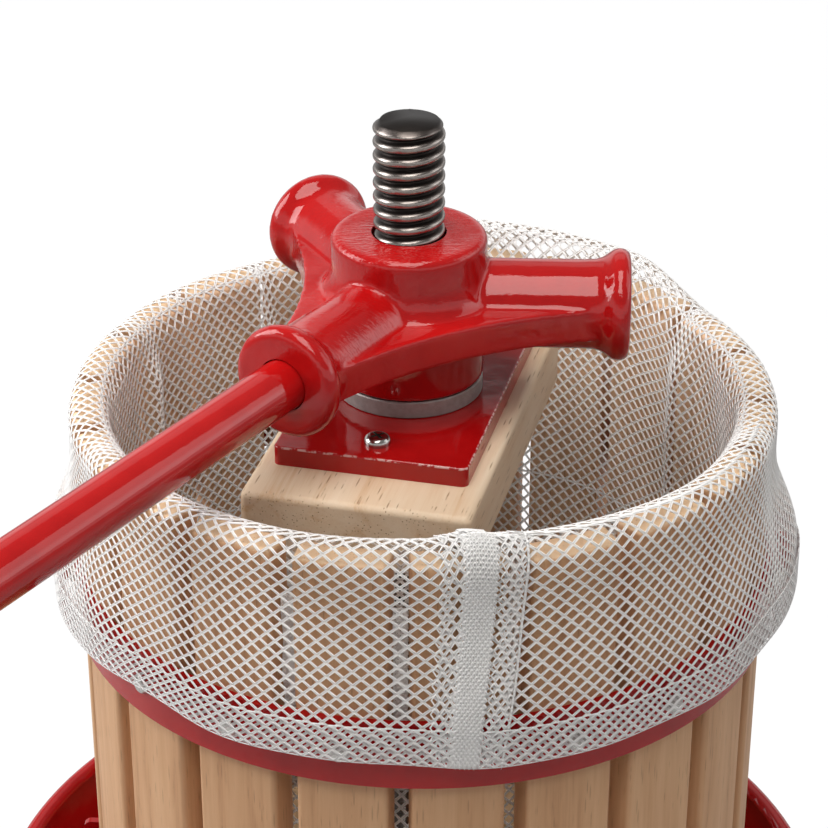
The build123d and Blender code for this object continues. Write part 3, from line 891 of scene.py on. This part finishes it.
def diamond_sheet(name, columns, rows, open_sides=False):
    """A flat net one unit wide and high; with open sides, the half diamonds there are left out."""
    start_fresh()
    bpy.ops.mesh.primitive_grid_add(
        x_subdivisions=columns, y_subdivisions=rows, size=1.0, location=(0.5, 0.5, 0.0)
    )
    piece = bpy.context.object
    piece.name = name
    settle(piece)
    bpy.ops.object.mode_set(mode="EDIT")
    bpy.ops.mesh.select_mode(type="EDGE")
    bpy.ops.mesh.select_all(action="SELECT")
    bpy.ops.mesh.poke()
    bpy.ops.mesh.select_all(action="DESELECT")
    bpy.ops.object.mode_set(mode="OBJECT")
    piece.data.edges.foreach_set("select", grid_edges(piece.data))
    bpy.ops.object.mode_set(mode="EDIT")
    bpy.ops.mesh.dissolve_edges(use_verts=False)
    if open_sides:
        bpy.ops.mesh.select_mode(type="FACE")
        bpy.ops.mesh.select_all(action="DESELECT")
        bpy.ops.mesh.select_face_by_sides(number=3, type="EQUAL")
        bpy.ops.mesh.delete(type="FACE")
    bpy.ops.object.mode_set(mode="OBJECT")
    return piece


print("flat nets are made by diamond_sheet")

# %% Threads round the diamonds
thread_inset = 0.32 * MM
thread_size = 0.60 * MM


def knot(piece, shape):
    """Rolls a flat net to shape(across, along) and turns its diamonds into loops of thread."""
    spots = spots_of(piece.data)
    piece.data.vertices.foreach_set("co", shape(spots[:, 0], spots[:, 1]).ravel())
    only(piece)
    bpy.ops.object.mode_set(mode="EDIT")
    bpy.ops.mesh.select_mode(type="FACE")
    bpy.ops.mesh.select_all(action="SELECT")
    bpy.ops.mesh.inset(thickness=thread_inset, depth=0.0, use_individual=True)
    bpy.ops.mesh.select_all(action="INVERT")
    bpy.ops.mesh.delete(type="FACE")
    bpy.ops.object.mode_set(mode="OBJECT")
    wire = {"use_boundary": True, "use_replace": True, "offset": 0.0}
    apply_modifier(piece, "WIREFRAME", thickness=thread_size, **wire)
    only(piece)
    bpy.ops.object.shade_smooth()
    paint(piece, net_finish)
    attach(piece, "base")
    print(piece.name, triangles(piece), "triangles")
    return piece


print("threads are made by knot")

# %% [markdown]
# The bag's shape is one rule: given a turn round the basket and a row counted from the hem, it says
# where that knot is. It has three stretches. The skirt rises from the hem to the rim and leans out
# towards the hoops, most of all over their ears. The fold passes over the staves' tops, and stands
# up loosely at the rear right. The lining then falls inside and turns in on the tray.
#
# What is uneven about it is written as hills and waves round the basket. A hill has its middle and
# its width in degrees and then its height, and a wave has its number, its start and its height.

# %% Sizes of the bag, and the hills and waves in it
columns = 150
skirt_rows = 17
lining_rows = 60
seam_turn = math.radians(-82.3)
outer_r = stave_outer_r + 1.3 * MM
inner_r = stave_inner_r - 1.2 * MM
fold_mid_r = (outer_r + inner_r) / 2
fold_half = (outer_r - inner_r) / 2
shoulder_z = -5.0 * MM
lining_floor = 151.2 * MM
floor_run = 42.0 * MM
rim_rise = 2.7
rim_hills = [(math.degrees(seam_turn) - 2.0, 3.2, 1.8), (-85.0, 38.0, 5.4)]
rim_waves = [(5.0, 0.8, 0.30), (11.0, 0.0, 0.175)]
stand_turn, stand_half, stand_fade, stand_rise = 68.0, 40.0, 20.0, 13.0
hem_level = 86.0
hem_hills = [(-162.0, 14.0, 3.0), (-138.0, 14.0, -5.0), (-28.0, 22.0, 2.0)]
hem_waves = [(5.0, 1.0, 1.2)]
lean_from, lean_run, lean_out = 14.0 * MM, 58.0 * MM, 6.7
ear_from, ear_run = 34.0 * MM, 34.0 * MM
ear_hills = [(0.0, 15.0, 6.0), (180.0, 15.0, 6.0)]
ruffle_waves = [(9.0, 1.0, 0.8), (17.0, 0.4, 0.5)]
pleat_run, pleat_crowding = 25.0 * MM, 0.9
pleats = [
    (156.0, 2.3, 5.5), (123.0, 2.0, 4.0), (28.0, 2.6, 5.5), (-20.0, 3.0, 3.0), (205.0, 3.0, 3.0),
]
print("skirt rows", skirt_rows, "lining rows", lining_rows, "columns", columns)

# %% Rules for the rim, the hem and the skirt
def away(turn, degrees):
    """Signed angle from a given direction, in degrees."""
    return (np.degrees(turn) - degrees + 180.0) % 360.0 - 180.0


def hill(turn, degrees, width):
    return np.exp(-((away(turn, degrees) / width) ** 2))


def hills(turn, rows):
    return sum(height * hill(turn, degrees, width) for degrees, width, height in rows)


def waves(turn, rows):
    return sum(height * np.sin(number * turn + start) for number, start, height in rows)


def smooth_step(value):
    value = np.clip(value, 0.0, 1.0)
    return value * value * (3.0 - 2.0 * value)


def fold_rise(turn):
    """How far the fold stands above the staves' tops."""
    stand = smooth_step((stand_half - np.abs(away(turn, stand_turn))) / stand_fade)
    return (rim_rise + stand_rise * stand + hills(turn, rim_hills) + waves(turn, rim_waves)) * MM


def hem_drop(turn):
    return (hem_level + hills(turn, hem_hills) + waves(turn, hem_waves)) * MM


def skirt_r(turn, drop):
    """Radius of the skirt at a drop below the staves' tops."""
    lean = smooth_step((drop - lean_from) / lean_run)
    flare = smooth_step((drop - ear_from) / ear_run)
    ears = hills(turn - basket_turn, ear_hills)
    return outer_r + (lean_out * lean + ears * flare + waves(turn, ruffle_waves) * lean) * MM


def gather(across):
    """Turn for a share of the way round, with more columns drawn into each pleat."""
    turns = np.linspace(seam_turn, seam_turn + 2 * math.pi, 2881)
    crowds = [(degrees, width, pleat_crowding) for degrees, width, _ in pleats]
    density = 1.0 + hills(turns, crowds)
    share = np.concatenate([[0.0], np.cumsum((density[1:] + density[:-1]) / 2)])
    return np.interp(across, share / share[-1], turns)


print("hem hangs", round(float(hem_drop(seam_turn)) / MM), "mm down at the seam")

# %% The bag's shape as a rule
slack, slack_number, slack_a_metre = 0.9 * MM, 13.0, 40.0
drag_hills = [(-52.0, 34.0, 0.24), (-120.0, 30.0, -0.12)]
drag_level, drag_inside = 50.0 * MM, 0.3
drift, drift_number, drift_a_row, drift_outside = 0.006, 6.0, 0.35, 0.6


def bag_spot(turn, row, lift=0.0):
    """The knot at a turn and a row: rows run from 0 at the hem to the rim and then down inside."""
    rise = fold_rise(turn) - shoulder_z
    arch = math.pi / 2 * np.sqrt((fold_half**2 + rise**2) / 2)
    skirt_length = hem_drop(turn) + shoulder_z
    lining_length = rim_z + shoulder_z - lining_floor
    outside = np.clip(row / skirt_rows, 0.0, 1.0) * (skirt_length + arch)
    inside_share = np.clip((row - skirt_rows) / lining_rows, 0.0, 1.0)
    inside = inside_share * (arch + lining_length + floor_run)
    on_skirt = row <= skirt_rows
    swing = np.where(on_skirt, (outside - skirt_length) / arch, 1.0 - inside / arch) * math.pi / 2
    swing = np.clip(swing, 0.0, math.pi / 2)
    side = np.where(on_skirt, 1.0, -1.0)
    r = fold_mid_r + side * fold_half * np.cos(swing)
    z = shoulder_z + rise * np.sin(swing)
    hang = on_skirt & (outside < skirt_length)
    drop = np.where(hang, hem_drop(turn) - outside, 0.0)
    r = np.where(hang, skirt_r(turn, drop), r)
    z = np.where(hang, -drop, z)
    down = np.where(on_skirt, 0.0, np.clip(inside - arch, 0.0, lining_length))
    across_floor = np.clip(inside - arch - lining_length, 0.0, floor_run)
    sag = hills(turn, pleats) * MM * smooth_step(down / pleat_run)
    sag = sag + slack * (1.0 + np.sin(slack_number * turn + down * slack_a_metre))
    r = r - np.where(down > 0.0, sag, 0.0) - np.where(on_skirt, 0.0, across_floor)
    z = np.where(down > 0.0, shoulder_z - down, z)
    r = r + lift * side * np.cos(swing)
    z = z + lift * np.sin(swing)
    drag = hills(turn, drag_hills) * (z + drag_level) / outer_r
    wander = drift * np.sin(drift_number * turn + row * drift_a_row)
    shifted = turn + drag * np.where(on_skirt, 1.0, drag_inside)
    shifted = shifted + wander * np.where(on_skirt, drift_outside, 1.0)
    return np.stack([basket_x + r * np.cos(shifted), r * np.sin(shifted), rim_z + z], axis=1)


print("knots are placed by bag_spot")

# %% [markdown]
# The tube is cut into bands so that no band is too heavy for other programs. They share their edge
# rows, so the thread runs on from one band to the next.

# %% Skirt, fold and lining
bands = [
    ("net_skirt", 0, 18),
    ("net_lining_upper", 18, 38),
    ("net_lining_middle", 38, 57),
    ("net_lining_lower", 57, 77),
]


for name, low_row, high_row in bands:
    span = high_row - low_row
    sheet = diamond_sheet(name, columns, span)
    knot(sheet, lambda across, along: bag_spot(gather(across), low_row + along * span))
    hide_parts("press_bag")
print("net bands", len(bands))

# %% [markdown]
# At the hem the net is turned back on itself, and along the seam it lies in several layers with a
# narrow strip of lace beside it. They are the same net again: shorter strips, a little further out,
# shifted by half a diamond so that the layers fill each other's holes.

# %% Turned-up hem
hem_rows = 3
hem_start = 0.02
hem_lift = 1.3 * MM
half_column = math.pi / columns


def hem_spot(across, along):
    return bag_spot(gather(across) + half_column, along * hem_rows + hem_start, hem_lift)


hem = knot(diamond_sheet("net_hem", columns, hem_rows), hem_spot)
print("hem of", hem_rows, "rows")

# %% Seam layers, the lace strip and its edge
# Each strip has its sides in degrees from the seam, its diamonds, and its height off the bag in mm
seam_parts = [
    ("net_seam_overlap", -6.6, -2.4, 3, 20, 0.8),
    ("net_seam_under", -3.5, 1.5, 7, 48, 0.9),
    ("net_seam_upper", -3.1, 1.3, 6, 43, 1.7),
    ("net_seam_lace", 1.4, 5.3, 3, 24, 0.9),
    ("net_seam_edge", 4.9, 5.3, 1, 36, 1.1),
]
seam_reach = 21.0
strips = []
for name, left, right, wide, high, out in seam_parts:
    strip = diamond_sheet(name, wide, high, open_sides=wide > 1)
    low_turn = seam_turn + math.radians(left)
    turn_span = seam_turn + math.radians(right) - low_turn
    lift = out * MM
    knot(
        strip,
        lambda across, along: bag_spot(low_turn + across * turn_span, along * seam_reach, lift),
    )
    strips.append(strip)
print("seam strips", len(strips))

# %% Folds of the lining that are pressed into two gaps in front
gap_turns = [basket_turn - math.pi / 2, basket_turn - math.radians(108.0)]
gap_half = math.radians(1.2)
gap_r = 143.0 * MM
gap_columns, gap_rows = 3, 30
gap_from, gap_length = 22.0, 76.0
gap_wave, gap_waves = 0.8 * MM, 17.0


def gap_spot(middle, across, along):
    """The fold stands in the wedge between two staves, and waves a little."""
    turn = middle + (across - 0.5) * 2 * gap_half
    drop = (gap_from + gap_length * along) * MM
    r = gap_r + np.sin(along * gap_waves) * gap_wave
    return np.stack([basket_x + r * np.cos(turn), r * np.sin(turn), rim_z - drop], axis=1)


for middle in gap_turns:
    fold = diamond_sheet("net_gap_fold", gap_columns, gap_rows)
    strips.append(knot(fold, lambda across, along: gap_spot(middle, across, along)))
seam = strips[0]
join(seam, strips[1:])
seam.name = "net_seam"
print("seam and folds of", len(strips), "strips")

# %% [markdown]
# ## Floor, light and background
#
# The photograph is a cut-out on white. To the camera and through clear pieces, the floor and the
# world show white. In a mirror the floor shows a little of it, and the world shows it near the
# horizon only, so that the enamel keeps its depth. One large warm soft box hangs nearly overhead: it
# reaches down into the basket, and draws the broad band along the right arm. A box of like power at
# the left lights the inner wall on the right, a weak one at the right opens the shadows there, and a
# faint one behind keeps the boss's top from going flat.

# %% Floor that shows white to the camera but keeps the shadow
white = rgb(1.0, 1.0, 1.0)
floor_size = 60.0
floor_grey = rgb(0.46, 0.46, 0.46)
floor_glow = 1.25
floor_mirror = 0.22
near_share, far_share_more = 0.72, 0.08
fade_length = 4.0
start_fresh()
bpy.ops.mesh.primitive_plane_add(size=floor_size)
floor = bpy.context.object
floor.name = "studio_floor"
pale = Finish("studio_floor", Base_Color=floor_grey, Roughness=0.9)
camera_ray, glossy_ray, clear_ray = pale.rays()
adding = {"operation": "ADD", "use_clamp": True}
seen = pale.node("Math", adding, {0: camera_ray + glossy_ray * floor_mirror, 1: clear_ray})
glow = pale.node("Emission", {}, {"Color": white, "Strength": floor_glow})
distance = pale.reach(pale.place()) * (1.0 / fade_length)
far_off = pale.grey_ramp(distance, (0.2, 0.0), (0.9, 1.0))
surface = Wire(pale, pale.shader.outputs[0])
shown = seen * (far_off * far_share_more + near_share)
pale.show(pale.node("MixShader", {}, {0: shown, 1: surface, 2: glow}), "Material Output")
floor.data.materials.append(pale.material)
print("floor", floor.name)

# %% World
sky_colour = rgb(1.0, 0.98, 0.96)
sky_strength = 0.26
ceiling_from, ceiling_to = 0.27, 0.41
world = bpy.data.worlds.new("studio_world")
bpy.context.scene.world = world
around = Shading(world)
sky = around.tree.nodes["Background"]
around.put(sky.inputs["Color"], sky_colour)
around.put(sky.inputs["Strength"], sky_strength)
sky_light = Wire(around, sky.outputs[0])
blank = around.node("Background", {}, {"Color": white, "Strength": 1.0})
upward = around.node("SeparateXYZ", {}, {0: around.node("TexCoord", {}, {}, 0)}, 2)
heights = {"Value": upward, "From Min": ceiling_from, "From Max": ceiling_to}
below_ceiling = around.node("MapRange", {}, {**heights, "To Min": 1.0, "To Max": 0.0})
camera_ray, glossy_ray, clear_ray = around.rays()
shows_white = camera_ray.or_more(glossy_ray * below_ceiling).or_more(clear_ray)
chosen = around.node("MixShader", {}, {0: shows_white, 1: sky_light, 2: blank})
around.show(chosen, "World Output")
print("world", world.name)

# %% Soft boxes
# Each box has its place, width, height, power in watts and colour, and is aimed at the basket's top
daylight = (1.0, 1.0, 1.0)
warm = (1.0, 0.97, 0.93)
soft_boxes = [
    ("key_box", (-0.08, -0.48, 1.98), 0.9, 1.55, 23.0, warm),
    ("left_box", (-1.60, 0.15, 1.30), 1.0, 1.2, 25.0, daylight),
    ("right_box", (1.60, 0.10, 1.30), 1.0, 1.2, 5.0, daylight),
    ("rear_box", (0.0, 1.70, 1.75), 1.6, 0.7, 1.5, daylight),
]
basket_top = Vector((0.0, 0.0, rim_z))
for name, spot, width, height, power, colour in soft_boxes:
    start_fresh()
    bpy.ops.object.light_add(type="AREA", location=spot)
    lamp = bpy.context.object
    lamp.name = name
    lamp.data.shape = "RECTANGLE"
    lamp.data.size = width
    lamp.data.size_y = height
    lamp.data.energy = power
    lamp.data.color = colour
    lamp.rotation_euler = (basket_top - Vector(spot)).to_track_quat("-Z", "Y").to_euler()

# %% View settings
bpy.context.scene.view_settings.view_transform = "Standard"
